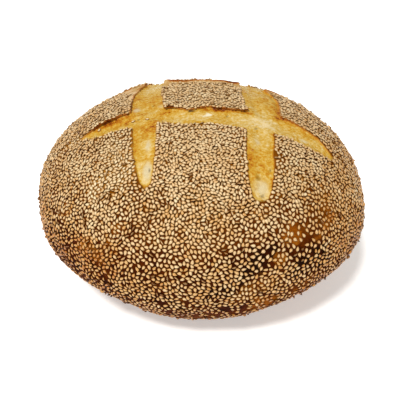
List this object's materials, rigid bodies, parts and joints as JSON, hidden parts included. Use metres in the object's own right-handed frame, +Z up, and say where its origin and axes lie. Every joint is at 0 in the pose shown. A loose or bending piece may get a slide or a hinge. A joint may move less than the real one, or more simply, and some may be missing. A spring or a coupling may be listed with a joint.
{
  "type": "sourdough loaf",
  "caption": "Whole round sourdough loaf with a seeded crust, scored with crossing cuts that opened in a square grid, on a flat bottom crust.",
  "frame": {"origin": "under the middle of the loaf's outline, on the plane of its flat bottom crust", "axes": "+Z up out of the dome, +X along the long cuts from left to right, +Y from front to back"},
  "size_m": [0.2422, 0.2364, 0.1259],
  "materials": {
    "crust": null,
    "sesame": null
  },
  "bodies": {
    "root": {"loaf": "crust"}
  },
  "joints": []
}
